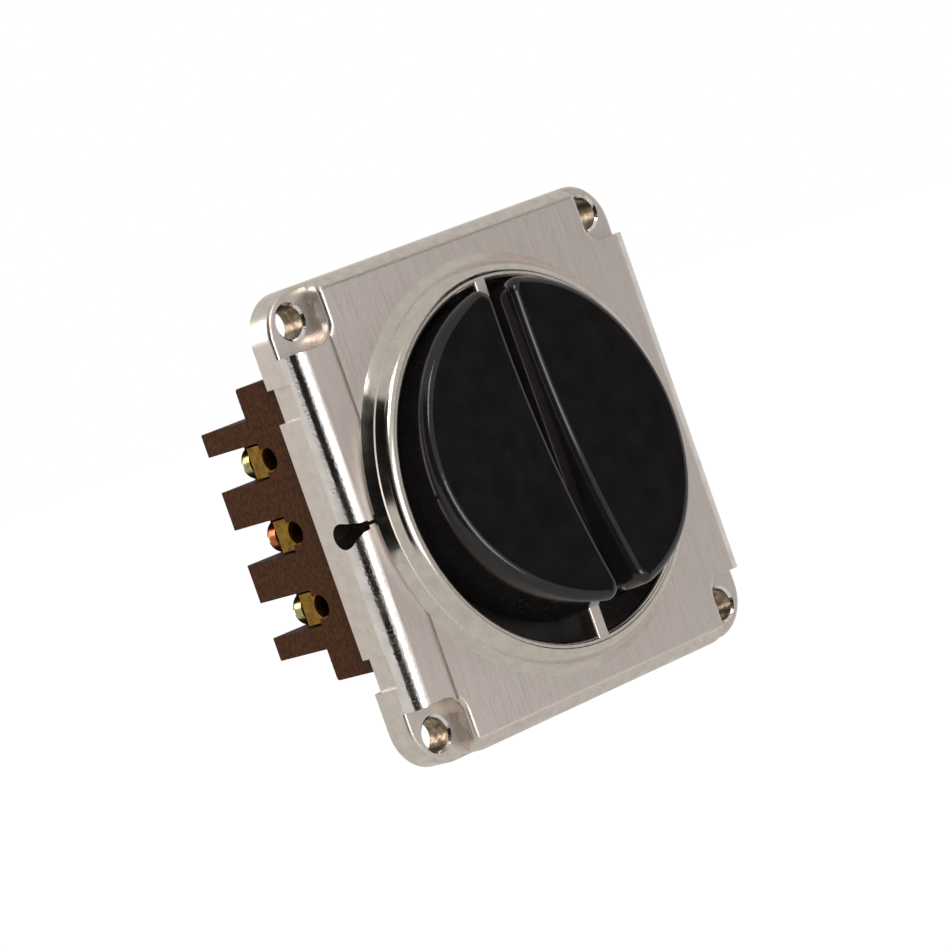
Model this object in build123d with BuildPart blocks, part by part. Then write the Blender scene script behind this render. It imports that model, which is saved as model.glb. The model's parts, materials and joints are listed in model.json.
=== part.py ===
"""Flush double rocker switch.

A cast metal plate carries a round collar with a bar across it. Two half-round rockers
turn on one axle behind it, and a moulded base holds their changeover contacts.

X runs to the right, Y into the wall and Z up, in millimetres. The origin is the middle
of the plate's back face, where the centre lines of its four screw holes meet the wall.
The rockers are drawn as they rest with their upper ends pressed in.
"""

import os
from math import cos, radians, sin, sqrt

from build123d import *

# Rockers
ROCKER_R = 23.7
SPLIT_HALF = 1.8
FACE_REACH = 19.8
FACE_HOLLOW_R = 150.0
SKIRT_REACH = 7.7
ROCKER_WALL = 1.9
CAP_T = 2.2
ROCKER_TIP_R = 2.2
ROCKER_EDGE_R = 1.3
REST_TILT = 6.5

# Hub, its webs and its plunger boss
HUB_R = 3.5
HUB_SIDE_GAP = 0.6
WEB_T = 1.6
WEB_HALF = 13.0
WEB_BITE = 1.2
AXLE_COVER_T = 1.0
BORE_R = 2.2
BORE_DEPTH = 5.7
BOSS_WALL = 1.3

# Axle
AXLE_D = 3.0
AXLE_INSET = 0.6
AXLE_CHAMFER = 0.3
AXLE_SEAT_CLEARANCE = 0.03
RUNNING_CLEARANCE = 0.06

# Plunger and its spring
PLUNGER_CLEARANCE = 0.08
PLUNGER_STROKE = 0.8
PLUNGER_STOP_GAP = 0.4
PLUNGER_WALL = 0.5
PLUNGER_FLOOR_T = 0.7
NOSE_R = 1.1
NOSE_L = 2.0
TIP_GAP = 0.15
WIRE_D = 0.45
WIRE_SIDES = 5
SPRING_TURNS = 4
SPRING_SIDE_GAP = 0.15
SPRING_END_GAP = 0.05

# Face plate
OPENING_GAP = 2.2
RIM_W = 1.9
RIM_H = 3.05
RIM_INNER_ROUND = 0.6
RIM_OUTER_ROUND = 0.3
COLLAR_FLARE = 1.0
COLLAR_STEP = 0.3
COLLAR_FOOT_R = 1.2
PLATE_MARGIN = 4.2
PLATE_CORNER_R = 6.5
FLANGE_T = 4.2
FLANGE_EDGE_R = 0.6
PLATEAU_H = 3.4
PLATEAU_END_R = 2.2
PLATEAU_SIDE_R = 2.9
POCKET_W = 8.3
POCKET_H = 8.8
POCKET_CORNER_R = 2.8
POCKET_TOP_R = 0.7
HOLE_INSET = 4.5
SCREW_HOLE_D = 4.8
HOLE_CHAMFER = 0.35
SIDE_STEP_W = 7.7
SIDE_STEP_H = 0.35
RELIEF_L = 4.9
RELIEF_DEPTH = 1.2
RELIEF_H = 4.85
RELIEF_RISE = 19.6
SEAT_DEPTH = 0.4
SEAT_GAP = 0.2

# Bar across the collar
BAR_W = 2.2
BAR_T = 2.6
BAR_TAPER = 0.15
BAR_EDGE_R = 0.3

# Keyhole in the plate's left side
KEYHOLE_R = 1.85
KEYHOLE_DEPTH = 3.0
KEYHOLE_SETBACK = 2.9
SLIT_W = 0.5
SLIT_DEPTH = 0.8
SLIT_RISE = 0.6

# Guide frame
GUIDE_T = 5.0
GUIDE_DISC_T = 2.0
GUIDE_LAP = 1.2
GUIDE_FIT = 0.15
HUB_WINDOW_H = 18.0
CENTRE_WEB_HALF = 4.4

# Contact base
BASE_LAP = 0.1
BASE_RISE = 1.6
BODY_H = 34.0
BODY_DEPTH = 22.1
EAR_H = 4.7
EAR_DEPTH = 11.3
BASE_EDGE_R = 0.8
TERMINAL_PITCH = 10.95
WINDOW_H = 5.3
WINDOW_DEPTH = 7.2
WINDOW_WALL = 1.2
WINDOW_SILL = 10.6
CHAMBER_WALL = 3.2
CHAMBER_DEPTH = 13.4
WIRE_HOLE_D = 3.6
WIRE_HOLE_BITE = 0.8
STRIP_GAP = 0.1
CORE_W = 4.6
CORE_WALL = 1.6
CORE_DEPTH = 6.0

# Contacts
STRIP_T = 0.8
STRIP_W = 4.0
PAD_W = 5.2
POST_T = 1.0
POST_W = 4.4
POST_H = 2.9
NOSE_GAP = 0.1
SEESAW_T = 1.2
SEESAW_W = 5.0
SEESAW_END = 1.7
SEESAW_TILT = 7.0
SEESAW_TIP_R = 1.5
CONTACT_ARM = 8.0
RIVET_R = 1.5
RIVET_H = 0.8
RIVET_CHAMFER = 0.25

# Terminals
BLOCK_INSET = 0.6
BLOCK_L = 5.6
BLOCK_GAP = 0.35
BLOCK_T = 3.6
BLOCK_CHAMFER = 0.3
SCREW_D = 2.9
SCREW_L = 2.9
SCREW_HEAD_D = 5.0
SCREW_HEAD_H = 2.5
SCREW_HEAD_CHAMFER = 0.7
SCREW_HEAD_GAP = 0.5
THREAD_CLEARANCE = 0.05
SLOT_W = 0.7
SLOT_DEPTH = 1.0

# Screws through the base
BASE_SCREW_D = 2.6
BASE_SCREW_CLEARANCE = 0.15
BASE_SCREW_INSET = 2.8
BASE_SCREW_GRIP = 4.5
BASE_SCREW_HEAD_D = 4.2
BASE_SCREW_HEAD_H = 1.8
BASE_SCREW_HEAD_CHAMFER = 0.4

# How far off an edge may lie when it is picked out by its place or radius
PICK_TOLERANCE = 0.1

# Sizes and places that follow from those above
OPENING_R = ROCKER_R + OPENING_GAP
RIM_R = OPENING_R + RIM_W
FLANK_R = RIM_R + COLLAR_FLARE
FOOT_R = FLANK_R + COLLAR_STEP + COLLAR_FOOT_R
PLATE_SIZE = 2 * (FOOT_R + PLATE_MARGIN)
PLATE_T = FLANGE_T + PLATEAU_H
COLLAR_TOP = PLATE_T + RIM_H
HOLE_SPACING = PLATE_SIZE - 2 * HOLE_INSET
BASE_W = 2 * (OPENING_R + BASE_LAP)
PIVOT_Y = GUIDE_T / 2
AXLE_R = AXLE_D / 2
FACE_SAG = FACE_HOLLOW_R - sqrt(FACE_HOLLOW_R**2 - ROCKER_R**2)
FACE_CENTRE = FACE_REACH - FACE_SAG + FACE_HOLLOW_R
WEB_REACH = FACE_REACH - FACE_SAG - CAP_T + WEB_BITE
CHAMBER_OUT = BASE_W / 2 - WINDOW_DEPTH - WINDOW_WALL
CHAMBER_W = CHAMBER_OUT - CENTRE_WEB_HALF
CHAMBER_H = BODY_H - 2 * CHAMBER_WALL
MECH_X = (CHAMBER_OUT + CENTRE_WEB_HALF) / 2
HUB_W = CHAMBER_W - 2 * HUB_SIDE_GAP
BORE_FLOOR = AXLE_R + AXLE_COVER_T
BOSS_REACH = BORE_FLOOR + BORE_DEPTH
SILL_Y = GUIDE_T + WINDOW_SILL
FLOOR_Y = GUIDE_T + CHAMBER_DEPTH
BACK_Y = GUIDE_T + BODY_DEPTH
EAR_Y = GUIDE_T + EAR_DEPTH
STRIP_Y = FLOOR_Y - STRIP_T
SEESAW_Y = STRIP_Y - POST_H
PLUNGER_R = BORE_R - PLUNGER_CLEARANCE
PLUNGER_MOUTH = BORE_FLOOR + PLUNGER_STROKE + PLUNGER_STOP_GAP
PLUNGER_TIP = SEESAW_Y - SEESAW_T - TIP_GAP - PIVOT_Y
PLUNGER_SEAT = PLUNGER_TIP - NOSE_L - PLUNGER_FLOOR_T
BLOCK_X = BASE_W / 2 - BLOCK_INSET - BLOCK_L / 2
BLOCK_Y = SILL_Y + BLOCK_T
WIRE_HOLE_Y = SILL_Y + WIRE_HOLE_BITE - WIRE_HOLE_D / 2
BASE_SCREW_X = BASE_W / 2 - BASE_SCREW_INSET
EAR_RISE = (BODY_H + EAR_H) / 2

SIDES = {"left": -1, "right": 1}
LEVELS = {"upper": 1, "common": 0, "lower": -1}
OUTWARD = Vector(0, -cos(radians(REST_TILT)), sin(radians(REST_TILT)))
SEESAW_FRONT = Vector(0, -cos(radians(SEESAW_TILT)), -sin(radians(SEESAW_TILT)))


def facing(y: float) -> Plane:
    """Plane along the wall at depth y: X to the right, Z up, its normal to the viewer."""
    return Plane(origin=(0, y, 0), x_dir=(1, 0, 0), z_dir=(0, -1, 0))


def across(x: float) -> Plane:
    """Plane square to X, with Y along its x and Z along its y."""
    return Plane(origin=(x, 0, 0), x_dir=(0, 1, 0), z_dir=(1, 0, 0))


def plan() -> Plane:
    """Level plane through the origin, with its y out from the wall and its normal down."""
    return Plane(origin=(0, 0, 0), x_dir=(1, 0, 0), z_dir=(0, 0, -1))


def reach_plane(x: float, reach: float) -> Plane:
    """Plane square to a resting rocker's reach, that far out from the axle."""
    origin = Vector(x, PIVOT_Y, 0) + OUTWARD * reach
    return Plane(origin=origin, x_dir=(1, 0, 0), z_dir=OUTWARD)


def rocker_side(x: float) -> Plane:
    """Upright plane through a resting rocker: its reach along x, its lower end along y."""
    return Plane(origin=(x, PIVOT_Y, 0), x_dir=OUTWARD, z_dir=(1, 0, 0))


def seesaw_side(x: float) -> Plane:
    """Upright plane through a resting seesaw: its front along x, its lower arm along y."""
    return Plane(origin=(x, SEESAW_Y, 0), x_dir=SEESAW_FRONT, z_dir=(1, 0, 0))


def seesaw_back(x: float) -> Plane:
    """Plane on a resting seesaw's back, with its lower arm along y and its normal rearward."""
    return Plane(origin=(x, SEESAW_Y, 0), x_dir=(1, 0, 0), z_dir=-SEESAW_FRONT)


def terminal_z(level: int) -> float:
    """Height of a row of terminals."""
    return BASE_RISE + level * TERMINAL_PITCH


def terminal_places(levels: list[int]) -> list[tuple[float, float]]:
    """Centres of the terminals on those levels, both sides, on a facing plane."""
    return [(sign * BLOCK_X, terminal_z(level)) for sign in SIDES.values() for level in levels]


def base_screw_places() -> list[tuple[float, float]]:
    """Centres of the four screws through the base, on a facing plane."""
    return [
        (sign * BASE_SCREW_X, BASE_RISE + end * EAR_RISE)
        for sign in SIDES.values()
        for end in SIDES.values()
    ]


def on_outline(edge: Edge) -> bool:
    """Whether an edge lies along the plate's outer sides."""
    middle = edge.center()
    return max(abs(middle.X), abs(middle.Z)) > PLATE_SIZE / 2 - PICK_TOLERANCE


def on_screw_hole(edge: Edge) -> bool:
    """Whether a round edge is the rim of one of the plate's screw holes."""
    return abs(edge.radius - SCREW_HOLE_D / 2) < PICK_TOLERANCE


def save(made: BuildPart, name: str) -> None:
    """Label a finished piece and write it."""
    made.part.label = name
    export_step(made.part, f"parts/{name}.step")


os.makedirs("parts", exist_ok=True)

# Face plate: flange, raised plateau with cut-back corners, and a turned collar
with BuildPart() as face_plate:
    with BuildSketch(facing(0)):
        RectangleRounded(PLATE_SIZE, PLATE_SIZE, PLATE_CORNER_R)
    extrude(amount=FLANGE_T)
    fillet(face_plate.faces().sort_by(Axis.Y)[0].edges(), FLANGE_EDGE_R)
    with BuildSketch(facing(0)) as plateau:
        Rectangle(PLATE_SIZE - 2 * POCKET_W, PLATE_SIZE)
        Rectangle(PLATE_SIZE, PLATE_SIZE - 2 * POCKET_H)
        inner_corners = plateau.vertices().sort_by_distance((0, 0))[: len(SIDES) ** 2]
        fillet(inner_corners, POCKET_CORNER_R)
    extrude(amount=PLATE_T)
    crest = face_plate.faces().sort_by(Axis.Y)[0].edges()
    fillet(crest.filter_by(on_outline, reverse=True), POCKET_TOP_R)
    with BuildSketch(facing(-PLATE_T)):
        with GridLocations(PLATE_SIZE - SIDE_STEP_W, 0, len(SIDES), 1):
            Rectangle(SIDE_STEP_W, PLATE_SIZE)
    extrude(amount=-SIDE_STEP_H, mode=Mode.SUBTRACT)
    upper_faces = face_plate.faces().filter_by(Axis.Y).sort_by(Axis.Y)
    fillet(upper_faces[0].edges().filter_by(on_outline), PLATEAU_END_R)
    wing_tops = face_plate.faces().filter_by(Axis.Y).sort_by(Axis.Y)[1 : 1 + len(SIDES)]
    fillet(wing_tops.edges().filter_by(on_outline), PLATEAU_SIDE_R)
    with BuildSketch(facing(0)):
        Circle(OPENING_R)
    extrude(amount=PLATE_T, mode=Mode.SUBTRACT)
    with BuildSketch(plan()) as collar:
        with BuildLine():
            root = (FOOT_R, PLATE_T - PLATEAU_H)
            foot = (FOOT_R, PLATE_T)
            step = (FLANK_R + COLLAR_STEP, PLATE_T + COLLAR_FOOT_R)
            Line(root, foot)
            TangentArc(foot, step, tangent=(-1, 0))
            Line(step, (FLANK_R, PLATE_T + COLLAR_FOOT_R))
            Line((FLANK_R, PLATE_T + COLLAR_FOOT_R), (RIM_R, COLLAR_TOP))
            Line((RIM_R, COLLAR_TOP), (OPENING_R, COLLAR_TOP))
            Polyline((OPENING_R, COLLAR_TOP), (OPENING_R, PLATE_T - PLATEAU_H), root)
        make_face()
        rim = collar.vertices().group_by(Axis.Y)[-1].sort_by(Axis.X)
        fillet(rim[0], RIM_INNER_ROUND)
        fillet(rim[-1], RIM_OUTER_ROUND)
    revolve(axis=Axis.Y)
    with BuildSketch(plan()) as bar:
        with Locations((0, COLLAR_TOP - BAR_T)):
            Trapezoid(BAR_W, BAR_T, 90 + BAR_TAPER, align=(Align.CENTER, Align.MIN))
        fillet(bar.vertices().group_by(Axis.Y)[-1], BAR_EDGE_R)
    extrude(amount=OPENING_R + RIM_INNER_ROUND, both=True)
    with BuildSketch(facing(-FLANGE_T)):
        with GridLocations(HOLE_SPACING, HOLE_SPACING, len(SIDES), len(SIDES)):
            Circle(SCREW_HOLE_D / 2)
    extrude(amount=-FLANGE_T, mode=Mode.SUBTRACT)
    hole_rims = face_plate.edges().filter_by(GeomType.CIRCLE).filter_by(on_screw_hole)
    chamfer(hole_rims.group_by(Axis.Y)[0], HOLE_CHAMFER)
    with BuildSketch(facing(0)):
        with GridLocations(PLATE_SIZE - RELIEF_DEPTH, 2 * RELIEF_RISE, len(SIDES), len(SIDES)):
            Rectangle(RELIEF_DEPTH, RELIEF_L)
    extrude(amount=RELIEF_H, mode=Mode.SUBTRACT)
    keyhole_wall = Plane(origin=(-PLATE_SIZE / 2, 0, 0), x_dir=(0, -1, 0), z_dir=(-1, 0, 0))
    with BuildSketch(keyhole_wall):
        with Locations((PLATE_T - KEYHOLE_SETBACK, 0)):
            Circle(KEYHOLE_R)
        with Locations((PLATE_T, SLIT_RISE)):
            Rectangle(SLIT_W, SLIT_W)
        make_hull()
    extrude(amount=-KEYHOLE_DEPTH, mode=Mode.SUBTRACT)
    with BuildSketch(facing(-PLATE_T)):
        with Locations((-FOOT_R, SLIT_RISE)):
            Rectangle(PLATE_MARGIN, SLIT_W, align=(Align.MAX, Align.CENTER))
    extrude(amount=-SLIT_DEPTH, mode=Mode.SUBTRACT)
    with BuildSketch(facing(0)):
        Circle(OPENING_R + GUIDE_LAP + GUIDE_FIT)
    extrude(amount=GUIDE_DISC_T, mode=Mode.SUBTRACT)
    with BuildSketch(facing(0)):
        with Locations((0, BASE_RISE)):
            Rectangle(BASE_W + 2 * SEAT_GAP, BODY_H + 2 * (EAR_H + SEAT_GAP))
    extrude(amount=SEAT_DEPTH, mode=Mode.SUBTRACT)
    with BuildSketch(facing(0)):
        with Locations(*base_screw_places()):
            Circle(BASE_SCREW_D / 2 + THREAD_CLEARANCE)
    extrude(amount=BASE_SCREW_GRIP + BASE_SCREW_CLEARANCE, mode=Mode.SUBTRACT)
save(face_plate, "face_plate")

# Guide frame: a disc that closes the opening, on a block bored for the axle
with BuildPart() as guide_frame:
    with BuildSketch(facing(0)):
        Circle(OPENING_R + GUIDE_LAP)
    extrude(amount=GUIDE_DISC_T)
    with BuildSketch(facing(-SEAT_DEPTH)):
        with Locations((0, BASE_RISE)):
            Rectangle(BASE_W, BODY_H + 2 * EAR_H)
    extrude(amount=-SEAT_DEPTH - GUIDE_T)
    with BuildSketch(facing(-GUIDE_DISC_T)):
        with GridLocations(2 * MECH_X, 0, len(SIDES), 1):
            RectangleRounded(CHAMBER_W, HUB_WINDOW_H, BASE_EDGE_R)
    extrude(amount=-GUIDE_DISC_T - GUIDE_T, mode=Mode.SUBTRACT)
    with BuildSketch(across(-BASE_W / 2)):
        with Locations((PIVOT_Y, 0)):
            Circle(AXLE_R + AXLE_SEAT_CLEARANCE)
    extrude(amount=BASE_W, mode=Mode.SUBTRACT)
    with BuildSketch(facing(-SEAT_DEPTH)):
        with Locations(*base_screw_places()):
            Circle(BASE_SCREW_D / 2 + BASE_SCREW_CLEARANCE)
    extrude(amount=-SEAT_DEPTH - GUIDE_T, mode=Mode.SUBTRACT)
save(guide_frame, "guide_frame")

# Axle that both rockers turn on
with BuildPart() as pivot_axle:
    with BuildSketch(across(0)):
        with Locations((PIVOT_Y, 0)):
            Circle(AXLE_R)
    extrude(amount=BASE_W / 2 - AXLE_INSET, both=True)
    chamfer(pivot_axle.edges().filter_by(GeomType.CIRCLE), AXLE_CHAMFER)
save(pivot_axle, "pivot_axle")


def half_round(sign: int, inset: float) -> None:
    """Half disc in from a rocker's outline by inset, on the side that sign gives."""
    radius = ROCKER_R - inset
    Circle(radius)
    with Locations((sign * (SPLIT_HALF + inset - radius), 0)):
        Rectangle(2 * radius, 2 * radius, mode=Mode.SUBTRACT)


# Rockers: hollow half-round keys with a dished face, a hub and a boss for the plunger
for side, sign in SIDES.items():
    with BuildPart() as hollow:
        with BuildSketch(reach_plane(0, SKIRT_REACH)) as inner_outline:
            half_round(sign, ROCKER_WALL)
            fillet(inner_outline.vertices(), ROCKER_TIP_R - ROCKER_WALL)
        extrude(amount=FACE_REACH - SKIRT_REACH)
        with BuildSketch(rocker_side(0)):
            with Locations((FACE_CENTRE, 0)):
                Circle(FACE_HOLLOW_R + CAP_T)
        extrude(amount=ROCKER_R, both=True, mode=Mode.SUBTRACT)
    with BuildPart() as rocker:
        with BuildSketch(reach_plane(0, SKIRT_REACH)) as outline:
            half_round(sign, 0)
            fillet(outline.vertices(), ROCKER_TIP_R)
        extrude(amount=FACE_REACH - SKIRT_REACH)
        with BuildSketch(rocker_side(0)):
            with Locations((FACE_CENTRE, 0)):
                Circle(FACE_HOLLOW_R)
        extrude(amount=ROCKER_R, both=True, mode=Mode.SUBTRACT)
        dish = rocker.faces().filter_by(GeomType.CYLINDER).sort_by(SortBy.RADIUS)[-1]
        fillet(dish.edges(), ROCKER_EDGE_R)
        add(hollow.part, mode=Mode.SUBTRACT)
        hub_x = sign * MECH_X
        for web_x in (hub_x - HUB_W / 2, hub_x + HUB_W / 2 - WEB_T):
            with BuildSketch(rocker_side(web_x)):
                Polygon(
                    (0, -HUB_R),
                    (WEB_REACH, -WEB_HALF),
                    (WEB_REACH, WEB_HALF),
                    (0, HUB_R),
                    align=None,
                )
            extrude(amount=WEB_T)
        with BuildSketch(reach_plane(hub_x, 0)):
            Rectangle(HUB_W, WEB_T)
        extrude(amount=WEB_REACH)
        with BuildSketch(rocker_side(hub_x - HUB_W / 2)):
            Circle(HUB_R)
        extrude(amount=HUB_W)
        with BuildSketch(reach_plane(hub_x, 0)):
            Circle(BORE_R + BOSS_WALL)
        extrude(amount=-BOSS_REACH)
        with BuildSketch(rocker_side(hub_x)):
            Circle(AXLE_R + RUNNING_CLEARANCE)
        extrude(amount=HUB_W, both=True, mode=Mode.SUBTRACT)
        with BuildSketch(reach_plane(hub_x, -BORE_FLOOR)):
            Circle(BORE_R)
        extrude(amount=-BORE_DEPTH, mode=Mode.SUBTRACT)
    save(rocker, f"rocker_{side}")

# Plungers: hollow pins with a rounded nose that ride over the seesaws
for side, sign in SIDES.items():
    with BuildPart() as plunger:
        with BuildSketch(rocker_side(sign * MECH_X)):
            with BuildLine():
                cheek = (-(PLUNGER_TIP - NOSE_R), NOSE_R)
                tip = (-PLUNGER_TIP, 0)
                Polyline(
                    (-PLUNGER_SEAT, 0),
                    (-PLUNGER_SEAT, PLUNGER_R - PLUNGER_WALL),
                    (-PLUNGER_MOUTH, PLUNGER_R - PLUNGER_WALL),
                    (-PLUNGER_MOUTH, PLUNGER_R),
                    (-(PLUNGER_TIP - NOSE_L), PLUNGER_R),
                    cheek,
                )
                TangentArc(cheek, tip, tangent=(-1, 0))
                Line(tip, (-PLUNGER_SEAT, 0))
            make_face()
        revolve(axis=Axis((sign * MECH_X, PIVOT_Y, 0), OUTWARD))
    save(plunger, f"plunger_{side}")

# Plunger springs, each between its bore's floor and the floor of its plunger
for side, sign in SIDES.items():
    with BuildPart() as plunger_spring:
        start = reach_plane(sign * MECH_X, -BORE_FLOOR - SPRING_END_GAP - WIRE_D / 2).origin
        length = PLUNGER_SEAT - BORE_FLOOR - 2 * SPRING_END_GAP - WIRE_D
        coil_r = PLUNGER_R - PLUNGER_WALL - SPRING_SIDE_GAP - WIRE_D / 2
        with BuildLine() as coil:
            Helix(length / SPRING_TURNS, length, coil_r, center=start, direction=-OUTWARD)
        with BuildSketch(Plane(origin=coil.line @ 0, z_dir=coil.line % 0)):
            RegularPolygon(WIRE_D / 2, WIRE_SIDES)
        sweep(is_frenet=True)
    save(plunger_spring, f"plunger_spring_{side}")

# Seesaws: brass strips that rock on a post, with a contact rivet near each end
for side, sign in SIDES.items():
    with BuildPart() as seesaw:
        with BuildSketch(seesaw_back(sign * MECH_X)):
            RectangleRounded(SEESAW_W, 2 * (CONTACT_ARM + SEESAW_END), SEESAW_TIP_R)
        extrude(amount=-SEESAW_T)
        with BuildSketch(seesaw_side(sign * MECH_X)):
            Circle(POST_T / 2 + NOSE_GAP)
        extrude(amount=SEESAW_W / 2, both=True, mode=Mode.SUBTRACT)
    save(seesaw, f"seesaw_{side}")
    with BuildPart() as moving_rivets:
        with BuildSketch(seesaw_back(sign * MECH_X)):
            with GridLocations(0, 2 * CONTACT_ARM, 1, len(SIDES)):
                Circle(RIVET_R)
        extrude(amount=RIVET_H)
        tip_rims = moving_rivets.faces().sort_by(Axis(origin=(0, 0, 0), direction=-SEESAW_FRONT))
        chamfer(tip_rims[-len(SIDES) :].edges(), RIVET_CHAMFER)
    save(moving_rivets, f"seesaw_contacts_{side}")

# Fixed contacts: strips from a pad under the seesaw out to their terminals
for side, sign in SIDES.items():
    for row, level in LEVELS.items():
        pad_z = level * CONTACT_ARM
        leg_z = terminal_z(level)
        leg_l = BLOCK_X - BLOCK_L / 2 - MECH_X
        leg_align = (Align.MIN if sign > 0 else Align.MAX, Align.CENTER)
        with BuildPart() as contact:
            with BuildSketch(facing(STRIP_Y)):
                with Locations((sign * MECH_X, pad_z)):
                    Rectangle(PAD_W, PAD_W)
                with Locations((sign * MECH_X, (pad_z + leg_z) / 2)):
                    Rectangle(PAD_W, STRIP_W + abs(leg_z - pad_z))
                with Locations((sign * MECH_X, leg_z)):
                    Rectangle(leg_l, STRIP_W, align=leg_align)
            extrude(amount=-STRIP_T)
            if level == 0:
                with BuildSketch(across(sign * MECH_X)):
                    with Locations((SEESAW_Y, 0)):
                        Circle(POST_T / 2)
                        Rectangle(POST_H, POST_T, align=(Align.MIN, Align.CENTER))
                extrude(amount=POST_W / 2, both=True)
        save(contact, f"{row}_contact_{side}")

# Rivets on the fixed pads
with BuildPart() as fixed_contact_tips:
    with BuildSketch(facing(STRIP_Y)):
        with GridLocations(2 * MECH_X, 2 * CONTACT_ARM, len(SIDES), len(SIDES)):
            Circle(RIVET_R)
    extrude(amount=RIVET_H)
    chamfer(fixed_contact_tips.edges().group_by(Axis.Y)[0], RIVET_CHAMFER)
save(fixed_contact_tips, "fixed_contact_tips")

# Contact base: a moulded block with ears, side windows, contact chambers and coring
with BuildPart() as contact_base:
    with BuildSketch(facing(GUIDE_T)):
        with Locations((0, BASE_RISE)):
            Rectangle(BASE_W, BODY_H)
    extrude(amount=-BODY_DEPTH)
    fillet(contact_base.faces().sort_by(Axis.Y)[-1].edges(), BASE_EDGE_R)
    with BuildSketch(facing(GUIDE_T)):
        with Locations((0, BASE_RISE)):
            Rectangle(BASE_W, BODY_H + 2 * EAR_H)
    extrude(amount=-EAR_DEPTH)
    with BuildSketch(facing(BACK_Y)):
        with Locations((0, BASE_RISE)):
            with GridLocations(BASE_W - WINDOW_DEPTH, TERMINAL_PITCH, len(SIDES), len(LEVELS)):
                Rectangle(WINDOW_DEPTH, WINDOW_H)
    extrude(amount=BACK_Y - SILL_Y, mode=Mode.SUBTRACT)
    with BuildSketch(facing(GUIDE_T)):
        with Locations((0, BASE_RISE)):
            with GridLocations(2 * MECH_X, 0, len(SIDES), 1):
                Rectangle(CHAMBER_W, CHAMBER_H)
    extrude(amount=-CHAMBER_DEPTH, mode=Mode.SUBTRACT)
    with BuildSketch(facing(FLOOR_Y)):
        with Locations((0, BASE_RISE)):
            with GridLocations(
                2 * CHAMBER_OUT + WINDOW_WALL, TERMINAL_PITCH, len(SIDES), len(LEVELS)
            ):
                Rectangle(WINDOW_WALL, STRIP_W + 2 * STRIP_GAP)
    extrude(amount=STRIP_T + STRIP_GAP, mode=Mode.SUBTRACT)
    for sign in SIDES.values():
        with BuildSketch(across(sign * BASE_W / 2)):
            with Locations((WIRE_HOLE_Y, BASE_RISE)):
                with GridLocations(0, TERMINAL_PITCH, 1, len(LEVELS)):
                    Circle(WIRE_HOLE_D / 2)
        extrude(amount=-sign * WINDOW_DEPTH, mode=Mode.SUBTRACT)
    with BuildSketch(facing(BACK_Y)):
        with Locations((0, BASE_RISE)):
            for sign in SIDES.values():
                with GridLocations(2 * MECH_X + sign * (CORE_W + CORE_WALL), 0, len(SIDES), 1):
                    RectangleRounded(CORE_W, CHAMBER_H, BASE_EDGE_R)
    extrude(amount=CORE_DEPTH, mode=Mode.SUBTRACT)
    with BuildSketch(facing(GUIDE_T)):
        with Locations(*base_screw_places()):
            Circle(BASE_SCREW_D / 2 + BASE_SCREW_CLEARANCE)
    extrude(amount=-EAR_DEPTH, mode=Mode.SUBTRACT)
save(contact_base, "contact_base")

# Terminal blocks: grooved under for the wire and tapped for the clamp screw
for side, sign in SIDES.items():
    for row, level in LEVELS.items():
        with BuildPart() as terminal:
            with BuildSketch(facing(BLOCK_Y)):
                with Locations((sign * BLOCK_X, terminal_z(level))):
                    Rectangle(BLOCK_L, WINDOW_H - 2 * BLOCK_GAP)
            extrude(amount=BLOCK_T)
            chamfer(terminal.faces().sort_by(Axis.Y)[-1].edges(), BLOCK_CHAMFER)
            with BuildSketch(across(sign * BLOCK_X)):
                with Locations((WIRE_HOLE_Y, terminal_z(level))):
                    Circle(WIRE_HOLE_D / 2)
            extrude(amount=BLOCK_L, both=True, mode=Mode.SUBTRACT)
            with BuildSketch(facing(BLOCK_Y)):
                with Locations((sign * BLOCK_X, terminal_z(level))):
                    Circle(SCREW_D / 2 + THREAD_CLEARANCE)
            extrude(amount=BLOCK_T, mode=Mode.SUBTRACT)
        save(terminal, f"{row}_terminal_{side}")


# Terminal screws: brass on the outer rows and copper coloured in the middle
screw_rows = {
    "outer_terminal_screws": [LEVELS["upper"], LEVELS["lower"]],
    "common_terminal_screws": [LEVELS["common"]],
}
for name, levels in screw_rows.items():
    with BuildPart() as screws:
        with BuildSketch(facing(BLOCK_Y + SCREW_HEAD_GAP)):
            with Locations(*terminal_places(levels)):
                Circle(SCREW_HEAD_D / 2)
        extrude(amount=-SCREW_HEAD_H)
        chamfer(screws.edges().group_by(Axis.Y)[-1], SCREW_HEAD_CHAMFER)
        with BuildSketch(facing(BLOCK_Y + SCREW_HEAD_GAP)):
            with Locations(*terminal_places(levels)):
                Circle(SCREW_D / 2)
        extrude(amount=SCREW_L)
        with BuildSketch(facing(BLOCK_Y + SCREW_HEAD_GAP + SCREW_HEAD_H)):
            with Locations(*terminal_places(levels)):
                Rectangle(SCREW_HEAD_D, SLOT_W)
        extrude(amount=SLOT_DEPTH, mode=Mode.SUBTRACT)
    save(screws, name)

# Screws that clamp the base and the guide frame to the plate
with BuildPart() as base_screws:
    with BuildSketch(facing(EAR_Y)):
        with Locations(*base_screw_places()):
            Circle(BASE_SCREW_HEAD_D / 2)
    extrude(amount=-BASE_SCREW_HEAD_H)
    chamfer(base_screws.edges().group_by(Axis.Y)[-1], BASE_SCREW_HEAD_CHAMFER)
    with BuildSketch(facing(EAR_Y)):
        with Locations(*base_screw_places()):
            Circle(BASE_SCREW_D / 2)
    extrude(amount=EAR_Y + BASE_SCREW_GRIP)
    with BuildSketch(facing(EAR_Y + BASE_SCREW_HEAD_H)):
        with Locations(*base_screw_places()):
            Rectangle(BASE_SCREW_HEAD_D, SLOT_W)
    extrude(amount=SLOT_DEPTH, mode=Mode.SUBTRACT)
save(base_screws, "base_screws")
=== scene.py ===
"""Looks of a flush double rocker switch: nickel plate, black rockers and a phenolic base."""

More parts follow.
